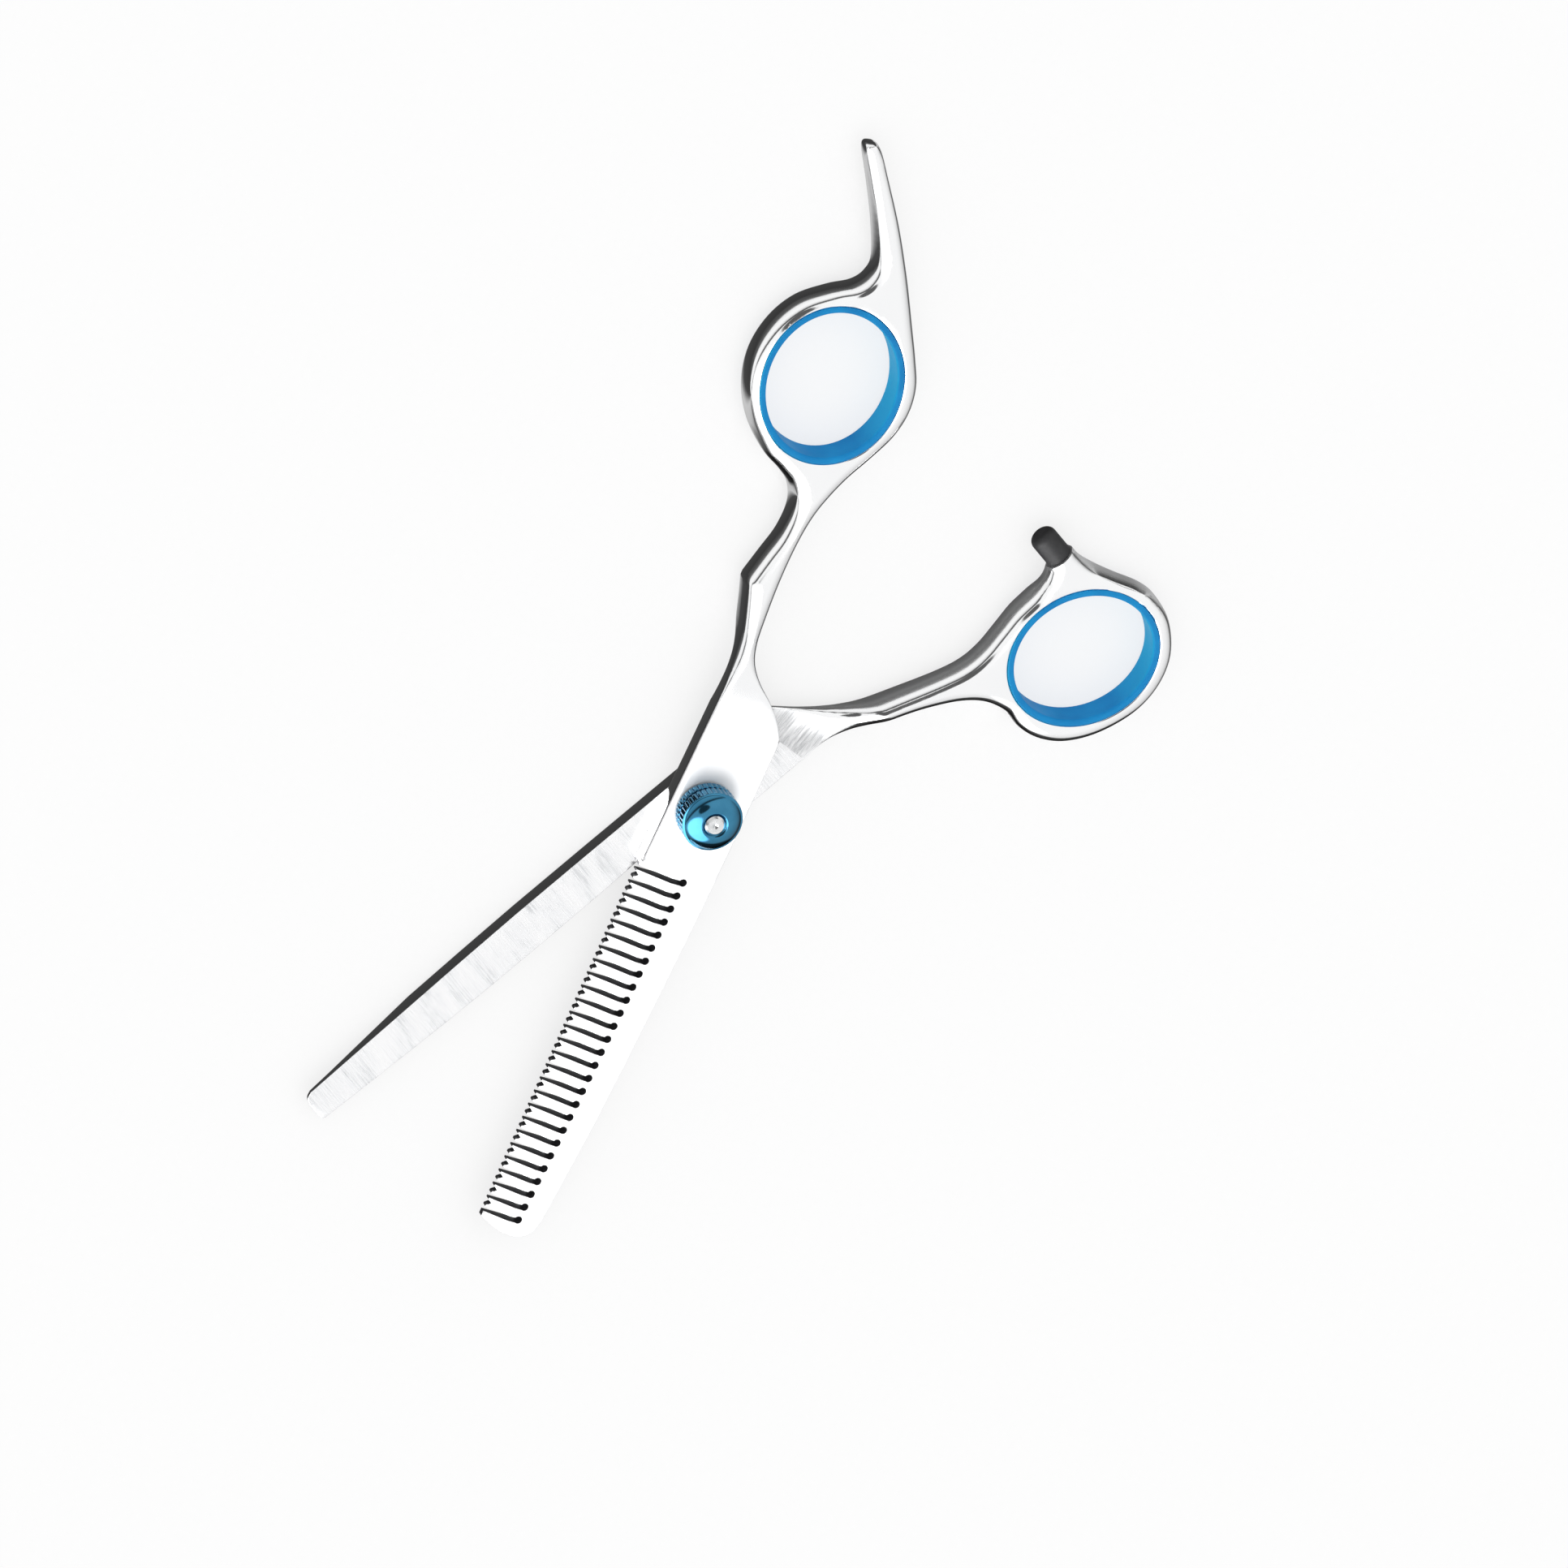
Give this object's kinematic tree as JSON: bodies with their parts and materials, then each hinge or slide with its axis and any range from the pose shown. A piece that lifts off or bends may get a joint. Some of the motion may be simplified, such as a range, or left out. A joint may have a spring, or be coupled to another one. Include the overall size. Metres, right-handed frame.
{
  "type": "thinning shears",
  "caption": "Thinning shears with a toothed blade, a plain blade, a dial-adjusted pivot, two ringed handles with soft inserts, a tang and a rubber bumper.",
  "frame": {"origin": "on the pivot axis, in the outer face of the thumb half, at the mouth of the recess with the bolt's slotted head", "axes": "+X to the toothed blade's tip, +Y to its spine, +Z along the pivot axis towards the dial"},
  "size_m": [0.1729, 0.0956, 0.0118],
  "materials": {
    "steel": "polished stainless steel",
    "insert": "satin blue silicone",
    "bronze": "turned",
    "nylon": "natural",
    "dark_nylon": "charcoal",
    "bolt": "turned",
    "dial": "blue anodised",
    "bumper": "matte"
  },
  "bodies": {
    "finger_side": {"finger_half": "steel", "finger_insert": "insert", "pivot_bush": "bronze", "glide_washer": "dark_nylon"},
    "thumb_side": {"thumb_half": "steel", "thumb_insert": "insert", "pivot_bolt": "bolt", "blade_washer": "nylon", "spring_washer": "bolt", "click_plate": "bolt", "bumper": "bumper", "bumper_stud": "bronze"},
    "dial": {"adjusting_dial": "dial"}
  },
  "joints": [
    {"name": "blade_pivot", "type": "hinge", "parent": "finger_side", "child": "thumb_side", "pos_m": [0, 0, 0], "axis": [0, 0, 1], "range_deg": [-110, 26.6]},
    {"name": "dial_turn", "type": "hinge", "parent": "thumb_side", "child": "dial", "pos_m": [0, 0, 0.0091], "axis": [0, 0, 1], "range_deg": [-180, 180]}
  ]
}
